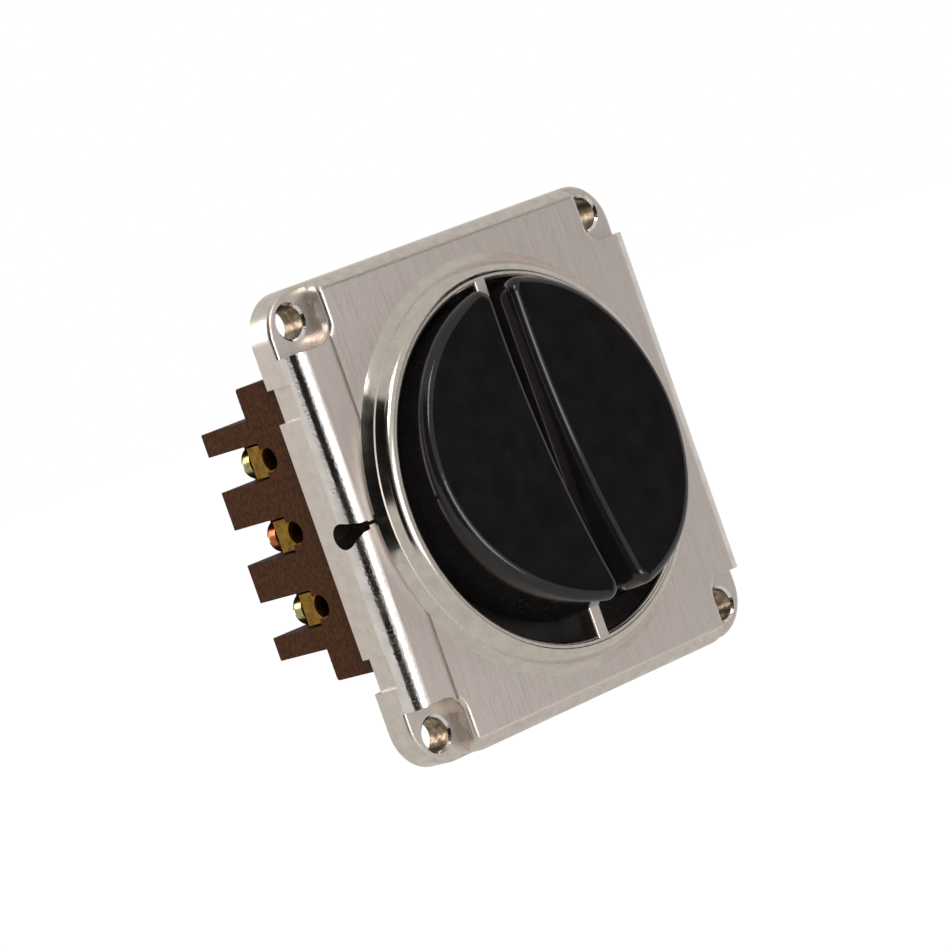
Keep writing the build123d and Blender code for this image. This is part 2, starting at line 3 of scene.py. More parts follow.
import json
import logging
import math
from collections.abc import Callable
from dataclasses import dataclass
from enum import Enum

import bmesh
import bpy
from mathutils import Matrix, Vector

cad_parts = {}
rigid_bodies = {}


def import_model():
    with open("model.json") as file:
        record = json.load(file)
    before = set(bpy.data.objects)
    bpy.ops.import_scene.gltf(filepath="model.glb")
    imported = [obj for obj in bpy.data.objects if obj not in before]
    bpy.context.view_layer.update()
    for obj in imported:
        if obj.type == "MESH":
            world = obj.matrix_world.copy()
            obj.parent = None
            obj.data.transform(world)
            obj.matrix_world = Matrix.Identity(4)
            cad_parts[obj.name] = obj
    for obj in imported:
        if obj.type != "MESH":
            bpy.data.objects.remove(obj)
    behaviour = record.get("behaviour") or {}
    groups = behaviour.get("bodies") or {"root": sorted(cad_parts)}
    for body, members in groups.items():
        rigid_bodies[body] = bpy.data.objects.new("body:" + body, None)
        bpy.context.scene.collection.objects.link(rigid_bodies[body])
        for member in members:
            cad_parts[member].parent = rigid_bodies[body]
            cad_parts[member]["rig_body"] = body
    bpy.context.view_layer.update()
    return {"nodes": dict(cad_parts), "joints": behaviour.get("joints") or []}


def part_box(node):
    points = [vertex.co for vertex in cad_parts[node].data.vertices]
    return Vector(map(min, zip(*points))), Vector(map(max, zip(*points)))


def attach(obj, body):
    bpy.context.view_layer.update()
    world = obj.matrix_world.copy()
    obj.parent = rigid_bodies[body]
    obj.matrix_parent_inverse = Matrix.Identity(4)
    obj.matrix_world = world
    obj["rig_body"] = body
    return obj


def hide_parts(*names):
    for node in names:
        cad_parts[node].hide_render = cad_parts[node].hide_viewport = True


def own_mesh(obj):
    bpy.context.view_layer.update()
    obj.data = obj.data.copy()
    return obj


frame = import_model()

LOG = logging.getLogger("double_rocker_switch")
MM = 0.001
SIDES = {"left": -1, "right": 1}
ROWS = ("upper", "common", "lower")
MERGE_DISTANCE = 0.002 * MM
FLAT_ANGLE = math.radians(0.2)
CREASE_ANGLE = math.radians(32)
NOISE_LOW, NOISE_HIGH = 0.32, 0.68
MIX_FIRST, MIX_SECOND = 6, 7
SQUARE_ANGLE = math.radians(80)
FACE_WEIGHT = 80
DOME_STEPS = 6
THREAD_STEPS = 24
RIDGE_SIDES = 3
BACKWARD = Matrix.Rotation(-math.pi / 2, 4, "X")


def linear(hex_colour: str, alpha: float = 1.0) -> tuple[float, float, float, float]:
    """Turn an sRGB hex colour into linear light.

    Args:
        hex_colour: Colour as six hex digits after a hash.
        alpha: Opacity of the result.

    Returns:
        Red, green, blue and alpha.
    """
    values = [int(hex_colour[i:i + 2], 16) / 255 for i in (1, 3, 5)]
    red, green, blue = (v / 12.92 if v <= 0.04045 else ((v + 0.055) / 1.055) ** 2.4 for v in values)
    return red, green, blue, alpha


def add_node(tree: bpy.types.NodeTree, kind: str, settings: dict | None = None,
             inputs: dict | None = None) -> bpy.types.Node:
    """Add one node with its settings and links.

    Args:
        tree: Node tree that takes the node.
        kind: Type name of the node.
        settings: Attributes to set on it.
        inputs: Values, or output sockets to link, by input name or number.

    Returns:
        The new node.
    """
    node = tree.nodes.new(kind)
    for name, value in (settings or {}).items():
        setattr(node, name, value)
    for name, value in (inputs or {}).items():
        if isinstance(value, bpy.types.NodeSocket):
            tree.links.new(value, node.inputs[name])
        else:
            node.inputs[name].default_value = value
    return node


@dataclass(frozen=True)
class Grain:
    """One layer of surface pattern, with its pitch along X, Y and Z in millimetres."""

    pitch: tuple[float, float, float]
    height: float
    detail: float = 2.0


@dataclass(frozen=True)
class Finish:
    """A real material and how its surface was made.

    The colour wanders between base and shade over the mottle pitch, and the grains lift the
    surface by their heights, in millimetres.
    """

    name: str
    base: str
    shade: str
    roughness: float
    roughness_spread: float
    mottle: Grain
    grains: tuple[Grain, ...]
    metallic: float = 0.0
    ior: float = 1.5
    specular: float = 0.5

    def material(self) -> bpy.types.Material:
        """Build the finish as a node material, or find the one already made.

        Returns:
            The material.
        """
        if self.name in bpy.data.materials:
            return bpy.data.materials[self.name]
        material = bpy.data.materials.new(self.name)
        material.use_nodes = True
        tree = material.node_tree
        tree.nodes.clear()
        place = add_node(tree, "ShaderNodeTexCoord").outputs["Object"]
        cloud = add_node(tree, "ShaderNodeMapRange", None, {
            "Value": self.noise(tree, place, self.mottle),
            "From Min": NOISE_LOW,
            "From Max": NOISE_HIGH,
        }).outputs["Result"]
        colour = add_node(tree, "ShaderNodeMix", {"data_type": "RGBA"},
                          {0: cloud, MIX_FIRST: linear(self.base), MIX_SECOND: linear(self.shade)})
        rough = add_node(tree, "ShaderNodeMapRange", None, {
            "Value": cloud,
            "To Min": self.roughness - self.roughness_spread,
            "To Max": self.roughness + self.roughness_spread,
        })
        shader = add_node(tree, "ShaderNodeBsdfPrincipled", None, {
            "Base Color": colour.outputs[2],
            "Roughness": rough.outputs["Result"],
            "Metallic": self.metallic,
            "IOR": self.ior,
            "Specular IOR Level": self.specular,
        })
        normal = None
        for grain in self.grains:
            bump = add_node(tree, "ShaderNodeBump", None, {
                "Distance": grain.height * MM,
                "Height": self.noise(tree, place, grain),
            })
            if normal is not None:
                tree.links.new(normal, bump.inputs["Normal"])
            normal = bump.outputs["Normal"]
        if normal is not None:
            tree.links.new(normal, shader.inputs["Normal"])
        add_node(tree, "ShaderNodeOutputMaterial", None, {"Surface": shader.outputs["BSDF"]})
        return material

    @staticmethod
    def noise(tree: bpy.types.NodeTree, place: bpy.types.NodeSocket,
              grain: Grain) -> bpy.types.NodeSocket:
        """Add a noise whose cells have the grain's pitch.

        Args:
            tree: Node tree of the material.
            place: Object coordinates.
            grain: Pitch and detail of the pattern.

        Returns:
            The noise value, from 0 to 1.
        """
        scale = tuple(1 / (pitch * MM) for pitch in grain.pitch)
        mapping = add_node(tree, "ShaderNodeMapping", None, {"Vector": place, "Scale": scale})
        noise = add_node(tree, "ShaderNodeTexNoise", None, {
            "Vector": mapping.outputs["Vector"],
            "Scale": 1.0,
            "Detail": grain.detail,
        })
        return noise.outputs[0]


def even(pitch: float, height: float = 0.0, detail: float = 2.0) -> Grain:
    """Grain with the same pitch every way."""
    return Grain((pitch, pitch, pitch), height, detail)


# Nickel over a zinc casting, linished up and down: a warm grey with fine upright scratches,
# drawn a little coarser than the real grit so that they show. Its base is lighter than the
# sides' nickel: painted light on the front face
LINISHED_NICKEL_PAINTED_LIGHT = Finish(
    name="linished_nickel_painted_light", base="#EEE3DB", shade="#DACDC4", metallic=1.0,
    roughness=0.36, roughness_spread=0.05, mottle=Grain((0.3, 0.3, 8.0), 0.0, 4.0),
    grains=(Grain((0.22, 0.22, 7.0), 0.013), Grain((7.0, 7.0, 0.4), 0.004)),
)
# The plated skin of the casting's sides and corners, tumbled: soft and slightly uneven,
# with a base darker than the front's nickel as painted shade on the sides
TUMBLED_NICKEL_PAINTED_SHADE = Finish(
    name="tumbled_nickel_painted_shade", base="#D4CAC0", shade="#C4B9AD", metallic=1.0,
    roughness=0.3, roughness_spread=0.05, mottle=even(1.4, 0.0, 4.0),
    grains=(even(1.8, 0.016), even(0.2, 0.003)),
)
# Edges caught by the buffing wheel: mirror bright, over a ragged skin
BUFFED_NICKEL = Finish(
    name="buffed_nickel_plate", base="#E9E2DC", shade="#D8CFC7", metallic=1.0,
    roughness=0.16, roughness_spread=0.05, mottle=even(2.5, 0.0, 4.0),
    grains=(Grain((0.5, 0.5, 0.36), 0.04), even(0.2, 0.007)),
)
# The collar, turned and then plated: nearly a mirror, with a trace of the turning
TURNED_NICKEL = Finish(
    name="turned_nickel_plate", base="#CEC6BA", shade="#C2B9AD", metallic=1.0,
    roughness=0.14, roughness_spread=0.03, mottle=even(1.8, 0.0, 3.0),
    grains=(Grain((3.0, 0.18, 3.0), 0.004),),
)
# Bores of the screw holes: a brownish colour darker than the plate, painted reflection and shade
# inside the bores
BORE_PAINTED_REFLECTION = Finish(
    name="bore_painted_reflection", base="#9C8A74", shade="#5E4C3A", metallic=1.0, roughness=0.32,
    roughness_spread=0.1, mottle=even(0.9, 0.0, 4.0), grains=(Grain((0.5, 0.2, 0.5), 0.01),),
)
# Keyhole and slit: near-black zinc, painted shade inside these recesses
RECESS_PAINTED_SHADE = Finish(
    name="recess_painted_shade", base="#171412", shade="#0C0A09", roughness=0.75,
    roughness_spread=0.1, mottle=even(0.8), grains=(even(0.4, 0.02),), specular=0.05,
)
# Moulded phenolic keys, polished: almost black, with a faint brown cast and fine swirls
BLACK_KEY = Finish(
    name="polished_black_phenolic", base="#0E0C0C", shade="#121010", roughness=0.1,
    roughness_spread=0.015, mottle=even(3.0), ior=1.5, specular=0.38,
    grains=(even(2.6, 0.002), even(0.2, 0.0006)),
)
# The frame inside is the same moulding as it left the press, a little duller
BLACK_FRAME = Finish(
    name="moulded_black_phenolic", base="#141313", shade="#1C1A19", roughness=0.45,
    roughness_spread=0.08, mottle=even(1.8), specular=0.3, grains=(even(0.5, 0.006),),
)
# Wood-filled phenolic: brown, with fine flecks of the filler under a matt, dry skin
BROWN_PHENOLIC = Finish(
    name="wood_filled_phenolic", base="#432816", shade="#2D190D", roughness=0.62,
    roughness_spread=0.1, mottle=Grain((0.5, 0.5, 0.8), 0.0, 5.0), ior=1.55, specular=0.06,
    grains=(even(0.35, 0.012), even(2.2, 0.03)),
)
# The same moulding inside the wire holes: the paler wood flour of the drilled walls, made paler
# still as painted light inside the holes
DRILLED_PHENOLIC_PAINTED_LIGHT = Finish(
    name="drilled_phenolic_painted_light", base="#A5653C", shade="#7E4625", roughness=0.7,
    roughness_spread=0.1, mottle=even(0.4, 0.0, 4.0), ior=1.55, specular=0.06,
    grains=(even(0.3, 0.02),),
)
# Sawn and tumbled brass of the clamp blocks, darkened by age to an ochre
OCHRE_BRASS = Finish(
    name="tumbled_brass", base="#94722F", shade="#6B4C1C", metallic=1.0, roughness=0.4,
    roughness_spread=0.1, mottle=even(1.1, 0.0, 4.0),
    grains=(Grain((0.5, 0.12, 0.5), 0.006),),
)
# Rolled brass strip of the springs and seesaws: clean and pale, with its rolling lines
BRASS_STRIP = Finish(
    name="rolled_brass_strip", base="#CFAE6A", shade="#AE8C4C", metallic=1.0, roughness=0.26,
    roughness_spread=0.06, mottle=Grain((1.5, 1.5, 5.0), 0.0),
    grains=(Grain((0.15, 0.15, 3.0), 0.003),),
)
# Turned brass screws under thin zinc: grey-green yellow, spotted where the zinc has gone dull
PLATED_SCREW = Finish(
    name="zinc_plated_brass", base="#BDB582", shade="#7E7848", metallic=1.0, roughness=0.22,
    roughness_spread=0.08, mottle=even(0.9, 0.0, 4.0), grains=(even(0.5, 0.006),),
)
# The middle row is coloured copper, to tell the common terminal apart
COPPER_SCREW = Finish(
    name="copper_plated_screw", base="#C97A50", shade="#8A4528", metallic=1.0, roughness=0.24,
    roughness_spread=0.08, mottle=even(0.9, 0.0, 4.0), grains=(even(0.5, 0.006),),
)
# Ground steel rod, wire and screws: grey and fairly bright
GROUND_STEEL = Finish(
    name="ground_steel", base="#B4B2AE", shade="#8C8A86", metallic=1.0, roughness=0.27,
    roughness_spread=0.07, mottle=Grain((0.4, 3.0, 0.4), 0.0),
    grains=(Grain((0.3, 0.1, 0.3), 0.003),),
)
# Steel screws of the base, blackened by oxide: dark grey with a dull shine
OXIDE_STEEL = Finish(
    name="oxide_black_steel", base="#4C4743", shade="#2E2A28", metallic=1.0, roughness=0.38,
    roughness_spread=0.08, mottle=even(0.8, 0.0, 4.0), grains=(even(0.4, 0.005),),
)
# Silver contact rivets, pressed: white metal with a dull bloom
CONTACT_SILVER = Finish(
    name="pressed_silver", base="#E6E4DE", shade="#BDB9B0", metallic=1.0, roughness=0.3,
    roughness_spread=0.1, mottle=even(0.6), grains=(even(0.25, 0.003),),
)
# Moulded nylon plungers: milky white and waxy
WHITE_NYLON = Finish(
    name="moulded_nylon", base="#E4DFD3", shade="#D3CCBC", roughness=0.4, roughness_spread=0.05,
    mottle=even(1.0), ior=1.53, grains=(even(0.4, 0.004),),
)


class Slot(Enum):
    """Names of the record's material slots."""

    NICKEL = "nickel_plate"
    KEY = "black_rocker"
    FRAME = "black_moulding"
    PHENOLIC = "brown_phenolic"
    BRASS = "brass"
    COPPER = "copper"
    STEEL = "steel"
    SILVER = "silver"
    NYLON = "white_nylon"


class PlateZone(Enum):
    """Surfaces of the plate casting, with their finishes."""

    FRONT = LINISHED_NICKEL_PAINTED_LIGHT
    SKIN = TUMBLED_NICKEL_PAINTED_SHADE
    EDGE = BUFFED_NICKEL
    FLANK = TURNED_NICKEL
    BORE = BORE_PAINTED_REFLECTION
    RECESS = RECESS_PAINTED_SHADE


def deselect() -> None:
    """Leave nothing selected and no mode open."""
    if bpy.context.mode != "OBJECT":
        bpy.ops.object.mode_set(mode="OBJECT")
    bpy.ops.object.select_all(action="DESELECT")


def pick(piece: bpy.types.Object) -> None:
    """Make a piece the only selected and active object.

    Args:
        piece: Object to work on.
    """
    deselect()
    piece.select_set(True)
    bpy.context.view_layer.objects.active = piece


def open_at_edges(piece: bpy.types.Object, wanted: Callable[[bmesh.types.BMEdge], bool]) -> None:
    """Open a piece in edit mode with only some of its edges selected.

    Args:
        piece: Object to work on.
        wanted: Test that an edge passes to be selected.
    """
    pick(piece)
    bpy.ops.object.mode_set(mode="EDIT")
    bpy.ops.mesh.select_mode(type="EDGE")
    bpy.ops.mesh.select_all(action="DESELECT")
    mesh = bmesh.from_edit_mesh(piece.data)
    for edge in mesh.edges:
        edge.select_set(wanted(edge))
    bmesh.update_edit_mesh(piece.data)


def close_up(piece: bpy.types.Object, sides: int = 0) -> None:
    """Fill the open ends of a piece and turn its faces outwards.

    Args:
        piece: Object to work on.
        sides: Number of sides of an open end, or 0 where there is none.
    """
    pick(piece)
    bpy.ops.object.mode_set(mode="EDIT")
    bpy.ops.mesh.select_all(action="SELECT")
    if sides:
        bpy.ops.mesh.fill_holes(sides=sides)
    bpy.ops.mesh.normals_make_consistent(inside=False)
    bpy.ops.object.mode_set(mode="OBJECT")


def apply_modifier(piece: bpy.types.Object, kind: str, settings: dict) -> None:
    """Add one modifier to a piece and apply it.

    Args:
        piece: Object that takes the modifier.
        kind: Type name of the modifier.
        settings: Attributes to set on it.
    """
    pick(piece)
    modifier = piece.modifiers.new(kind.lower(), kind)
    for name, value in settings.items():
        setattr(modifier, name, value)
    bpy.ops.object.modifier_apply(modifier=modifier.name)


def merged_copy(node: str, name: str) -> bpy.types.Object:
    """Copy a node's mesh into a new piece, with its loose triangles merged into whole faces.

    Args:
        node: Name of the node.
        name: Name of the new piece.

    Returns:
        The new piece, at the origin.
    """
    piece = bpy.data.objects.new(name, frame["nodes"][node].data.copy())
    bpy.context.scene.collection.objects.link(piece)
    piece.data.name = name
    piece.data.materials.clear()
    pick(piece)
    bpy.ops.mesh.customdata_custom_splitnormals_clear()
    bpy.ops.object.mode_set(mode="EDIT")
    bpy.ops.mesh.select_all(action="SELECT")
    bpy.ops.mesh.remove_doubles(threshold=MERGE_DISTANCE)
    bpy.ops.mesh.dissolve_limited(angle_limit=FLAT_ANGLE)
    bpy.ops.mesh.faces_shade_smooth()
    bpy.ops.object.mode_set(mode="OBJECT")
    return piece


def break_edges(piece: bpy.types.Object, width: float) -> None:
    """Round a piece's sharp edges a little and shade the rest smooth.

    Args:
        piece: Object to finish.
        width: Width of the rounding in metres.
    """
    apply_modifier(piece, "BEVEL", {
        "width": width, "segments": 2, "limit_method": "ANGLE", "angle_limit": CREASE_ANGLE,
        "harden_normals": False, "use_clamp_overlap": True, "miter_outer": "MITER_ARC",
    })
    smooth(piece)


def smooth(piece: bpy.types.Object) -> None:
    """Shade a piece smooth up to its creases, with flat faces kept flat.

    Args:
        piece: Object to shade.
    """
    pick(piece)
    bpy.ops.object.shade_smooth_by_angle(angle=CREASE_ANGLE)
    apply_modifier(piece, "WEIGHTED_NORMAL", {"keep_sharp": True, "weight": FACE_WEIGHT})


def dress(piece: bpy.types.Object, *finishes: Finish) -> None:
    """Give a piece its finishes.

    Args:
        piece: Object to dress.
        finishes: Its finishes, of which the first goes on every face.
    """
    piece.data.materials.clear()
    for finish in finishes:
        piece.data.materials.append(finish.material())


def seat(piece: bpy.types.Object, node: str) -> None:
    """Let a piece stand for a node on that node's own body.

    Args:
        piece: Finished piece.
        node: Node that it replaces.
    """
    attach(piece, frame["nodes"][node]["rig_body"])
    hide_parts(node)
    LOG.info("%s stands for %s, %d faces", piece.name, node, len(piece.data.polygons))


@dataclass
class FacePlate:
    """Cast plate with its collar, bar and corner pockets.

    Sizes are in millimetres, from the middle of the plate. A face looks along an axis where its
    normal has more than facing along it, and stands square to it where it has less than leaning.
    """

    node: str = "face_plate"
    hole_place: float = 30.0
    hole_r: float = 2.45
    chamfer_r: float = 2.8
    rim_in_r: float = 25.85
    rim_out_r: float = 27.8
    rim_y: float = -10.65
    rim_rounding: float = 0.9
    rim_steps: int = 6
    foot_out_r: float = 30.3
    foot_arc_r: float = 1.2
    foot_root: float = 7.6
    foot_sag: float = 0.05
    collar_out_r: float = 30.4
    collar_root: float = 7.62
    wing_edge: float = 31.4
    wing_y: float = -7.2
    pocket_edge: float = 25.8
    keyhole_x: tuple[float, float] = (-34.6, -31.2)
    keyhole_y: tuple[float, float] = (-7.6, -2.6)
    keyhole_half: float = 2.4
    keyhole_wall: float = 1.0
    slit_z: float = 0.6
    slit_half: float = 0.3
    slit_in_x: float = -26.0
    facing: float = 0.98
    leaning: float = 0.05
    tolerance: float = 0.03

    def build(self) -> None:
        """Make the casting and give each of its surfaces its finish."""
        casting = merged_copy(self.node, "plate_casting")
        self.open_foot(casting)
        self.round_rim(casting)
        smooth(casting)
        dress(casting, *(zone.value for zone in PlateZone))
        numbers = {zone: index for index, zone in enumerate(PlateZone)}
        for face in casting.data.polygons:
            face.material_index = numbers[self.zone(face.center / MM, face.normal)]
        seat(casting, self.node)

    def open_foot(self, casting: bpy.types.Object) -> None:
        """Open the hollow at the collar's foot into a shallow slope, which stays in its place.

        Args:
            casting: Copy of the plate's mesh.
        """
        for vertex in casting.data.vertices:
            place = vertex.co / MM
            short = self.foot_out_r - math.hypot(place.x, place.z)
            if not 0 < short < self.foot_arc_r:
                continue
            arc = -self.foot_root - self.foot_arc_r + math.sqrt(self.foot_arc_r ** 2 - short ** 2)
            if abs(place.y - arc) > self.tolerance:
                continue
            along = 1 - short / self.foot_arc_r
            slope = -self.foot_root - self.foot_arc_r * (1 - along)
            sag = self.foot_sag * (1 - (2 * along - 1) ** 2)
            vertex.co.y = (slope + sag) * MM

    def round_rim(self, casting: bpy.types.Object) -> None:
        """Round the outer edge of the collar's rim.

        Args:
            casting: Copy of the plate's mesh.
        """
        def on_rim(edge: bmesh.types.BMEdge) -> bool:
            """Tell whether both ends of an edge lie on the rim's outer circle."""
            return all(
                abs(math.hypot(corner.co.x, corner.co.z) / MM - self.rim_out_r) < self.tolerance
                and abs(corner.co.y / MM - self.rim_y) < self.tolerance
                for corner in edge.verts)

        open_at_edges(casting, on_rim)
        bpy.ops.mesh.bevel(offset=self.rim_rounding * MM, segments=self.rim_steps, affect="EDGES")
        bpy.ops.object.mode_set(mode="OBJECT")

    def zone(self, place: Vector, normal: Vector) -> PlateZone:
        """Tell which surface of the casting a face belongs to.

        Args:
            place: Middle of the face in millimetres.
            normal: Its outward direction.

        Returns:
            The face's zone.
        """
        radius = math.hypot(place.x, place.z)
        hole = math.hypot(abs(place.x) - self.hole_place, abs(place.z) - self.hole_place)
        # The keyhole and slit take the near-black painted shade
        if self.recessed(place, normal):
            return PlateZone.RECESS
        if hole < self.chamfer_r and self.leaning < -normal.y < self.facing:
            return PlateZone.EDGE
        # The bores take the brownish painted reflection and shade
        if hole < self.hole_r and -normal.y < self.facing:
            return PlateZone.BORE
        if -place.y > self.collar_root and self.rim_in_r < radius < self.collar_out_r:
            return PlateZone.FLANK
        # Faces looking forward take the nickel with painted light; the sides and corners left at
        # the end take the nickel with painted shade
        if normal.y < -self.facing:
            return PlateZone.FRONT
        rounded = abs(place.x) > self.wing_edge and -normal.y > self.leaning
        if rounded and abs(normal.z) < self.leaning and abs(place.z) < self.pocket_edge:
            return PlateZone.EDGE
        return PlateZone.SKIN

    def recessed(self, place: Vector, normal: Vector) -> bool:
        """Tell whether a face lies in the keyhole of the side or in the slit above it.

        Args:
            place: Middle of the face in millimetres.
            normal: Its outward direction.

        Returns:
            Whether it does.
        """
        along = self.keyhole_x[0] < place.x < self.keyhole_x[1]
        across = self.keyhole_y[0] < place.y < self.keyhole_y[1]
        floor = normal.x < -self.facing and place.x > self.keyhole_x[0] + self.keyhole_wall
        back = abs(normal.x) < self.leaning and place.y > self.wing_y
        turned = abs(normal.z) > self.leaning or floor or back
        if along and across and abs(place.z) < self.keyhole_half and turned:
            return True
        return abs(place.z - self.slit_z) < self.slit_half and place.x < self.slit_in_x


@dataclass
class Rockers:
    """The two half-round keys."""

    node: str = "rocker_{side}"

    def build(self) -> None:
        """Make both keys."""
        for side in SIDES:
            node = self.node.format(side=side)
            key = merged_copy(node, f"key_{side}")
            smooth(key)
            dress(key, BLACK_KEY)
            seat(key, node)


@dataclass
class Mouldings:
    """The phenolic base and the black guide frame."""

    base_edge: float = 0.45 * MM
    base_steps: int = 3
    frame_edge: float = 0.15 * MM
    wire_hole_y: float = 14.6
    wire_hole_r: tuple[float, float] = (1.6, 1.9)
    along_x: float = 0.99
    across_x: float = 0.5
    shortest: float = 2.0 * MM

    def build(self) -> None:
        """Make both mouldings, with the small roundings of their moulds."""
        base = merged_copy("contact_base", "phenolic_base")
        self.round_ribs(base)
        smooth(base)
        dress(base, BROWN_PHENOLIC, DRILLED_PHENOLIC_PAINTED_LIGHT)
        rows = [sum(corner.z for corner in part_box(f"{row}_terminal_left")) / 2 for row in ROWS]
        for face in base.data.polygons:
            place = face.center / MM
            reach = min(math.hypot(place.y - self.wire_hole_y, place.z - row / MM) for row in rows)
            near = self.wire_hole_r[0] < reach < self.wire_hole_r[1]
            # Faces round the wire holes take the paler phenolic, which is partly painted light
            # inside the holes
            face.material_index = int(near and abs(face.normal.x) < self.across_x)
        seat(base, "contact_base")
        guide = merged_copy("guide_frame", "guide_moulding")
        break_edges(guide, self.frame_edge)
        dress(guide, BLACK_FRAME)
        seat(guide, "guide_frame")

    def round_ribs(self, base: bpy.types.Object) -> None:
        """Round the outer corners of the base that run from left to right.

        Args:
            base: Copy of the base's mesh.
        """
        def on_corner(edge: bmesh.types.BMEdge) -> bool:
            """Tell whether an edge is a square outer corner that runs along X."""
            run = edge.verts[1].co - edge.verts[0].co
            sharp = edge.is_convex and edge.calc_face_angle(0.0) > SQUARE_ANGLE
            return sharp and run.length > self.shortest and abs(run.x) > self.along_x * run.length

        open_at_edges(base, on_corner)
        bpy.ops.mesh.bevel(offset=self.base_edge, segments=self.base_steps, affect="EDGES",
                           clamp_overlap=False)
        bpy.ops.mesh.select_all(action="SELECT")
        bpy.ops.mesh.remove_doubles(threshold=MERGE_DISTANCE)
        bpy.ops.mesh.dissolve_degenerate(threshold=MERGE_DISTANCE)
        bpy.ops.object.mode_set(mode="OBJECT")


@dataclass
class SlottedScrew:
    """Slotted screw with a domed head and a rolled thread. Its axis points back, along +Y."""

    head_d: float
    head_h: float
    shank_d: float
    length: float
    pitch: float
    slot_w: float = 0.8 * MM
    slot_depth: float = 1.0 * MM
    dome: float = 1.2 * MM
    thread_depth: float = 0.22 * MM
    facets: int = 48

    def pattern(self, name: str) -> bpy.types.Object:
        """Model one screw with the underside of its head at the origin.

        Args:
            name: Name of the piece.

        Returns:
            The screw.
        """
        deselect()
        bpy.ops.mesh.primitive_cylinder_add(vertices=self.facets, radius=self.head_d / 2,
                                            depth=self.head_h, location=(0, 0, self.head_h / 2))
        head = bpy.context.object
        head.name = name
        self.round_crown(head)
        self.cut_slot(head)
        shank = self.shank()
        thread = self.thread()
        pick(head)
        shank.select_set(True)
        thread.select_set(True)
        bpy.ops.object.join()
        bpy.ops.object.transform_apply(location=True, rotation=True, scale=True)
        head.data.transform(BACKWARD)
        close_up(head)
        smooth(head)
        return head

    def round_crown(self, head: bpy.types.Object) -> None:
        """Round the upper rim of a head into a dome.

        Args:
            head: Plain head, upright.
        """
        open_at_edges(head, lambda edge: all(vertex.co.z > 0 for vertex in edge.verts))
        bpy.ops.mesh.bevel(offset=self.dome, segments=DOME_STEPS, affect="EDGES")
        bpy.ops.object.mode_set(mode="OBJECT")

    def cut_slot(self, head: bpy.types.Object) -> None:
        """Cut the screwdriver slot across a head.

        Args:
            head: Domed head, upright.
        """
        deselect()
        bpy.ops.mesh.primitive_cube_add(size=1, location=(0, 0, self.head_h))
        cutter = bpy.context.object
        cutter.scale = (2 * self.head_d, self.slot_w, 2 * self.slot_depth)
        bpy.ops.object.transform_apply(location=False, rotation=False, scale=True)
        apply_modifier(head, "BOOLEAN", {"operation": "DIFFERENCE", "object": cutter,
                                         "solver": "EXACT"})
        bpy.data.objects.remove(cutter)

    def shank(self) -> bpy.types.Object:
        """Model the core under the thread, with a tapered end.

        Returns:
            The core.
        """
        core = self.shank_d / 2 - self.thread_depth
        deselect()
        bpy.ops.mesh.primitive_cylinder_add(vertices=self.facets, radius=core, depth=self.length,
                                            location=(0, 0, -self.length / 2))
        shank = bpy.context.object
        bpy.ops.object.transform_apply(location=True, rotation=False, scale=False)
        end = MERGE_DISTANCE - self.length
        open_at_edges(shank, lambda edge: all(vertex.co.z < end for vertex in edge.verts))
        bpy.ops.mesh.bevel(offset=self.thread_depth, segments=1, affect="EDGES")
        bpy.ops.object.mode_set(mode="OBJECT")
        return shank

    def thread(self) -> bpy.types.Object:
        """Wind a three-cornered ridge round the core, closed at both ends.

        Returns:
            The thread.
        """
        deselect()
        ridge_r = self.thread_depth
        bpy.ops.mesh.primitive_circle_add(vertices=RIDGE_SIDES, radius=ridge_r, fill_type="NGON")
        thread = bpy.context.object
        stand = Matrix.Rotation(math.pi / 2, 4, "X") @ Matrix.Rotation(-math.pi / 2, 4, "Z")
        thread.data.transform(stand)
        thread.data.transform(Matrix.Translation((self.shank_d / 2 - ridge_r, 0, 0)))
        turns = int((self.length - 2 * ridge_r) / self.pitch)
        thread.data.transform(Matrix.Translation((0, 0, -ridge_r - turns * self.pitch)))
        apply_modifier(thread, "SCREW", {"screw_offset": self.pitch, "iterations": turns,
                                         "steps": THREAD_STEPS, "render_steps": THREAD_STEPS,
                                         "use_merge_vertices": False})
        close_up(thread, sides=RIDGE_SIDES)
        return thread

    def place(self, node: str, slot: Slot, finish: Finish, seats: list[Vector]) -> None:
        """Model the screw once and copy it to every seat.

        Args:
            node: Node that the screws stand for.
            slot: Record slot of the finish; not used.
            finish: Finish of the screws.
            seats: Middle of the underside of each head.
        """
        pattern = self.pattern(f"{node}_pattern")
        for number, spot in enumerate(seats, 1):
            screw = bpy.data.objects.new(f"{node}_{number}", pattern.data.copy())
            bpy.context.scene.collection.objects.link(screw)
            screw.data.transform(Matrix.Translation(spot))
            dress(screw, finish)
            seat(screw, node)
        bpy.data.objects.remove(pattern)


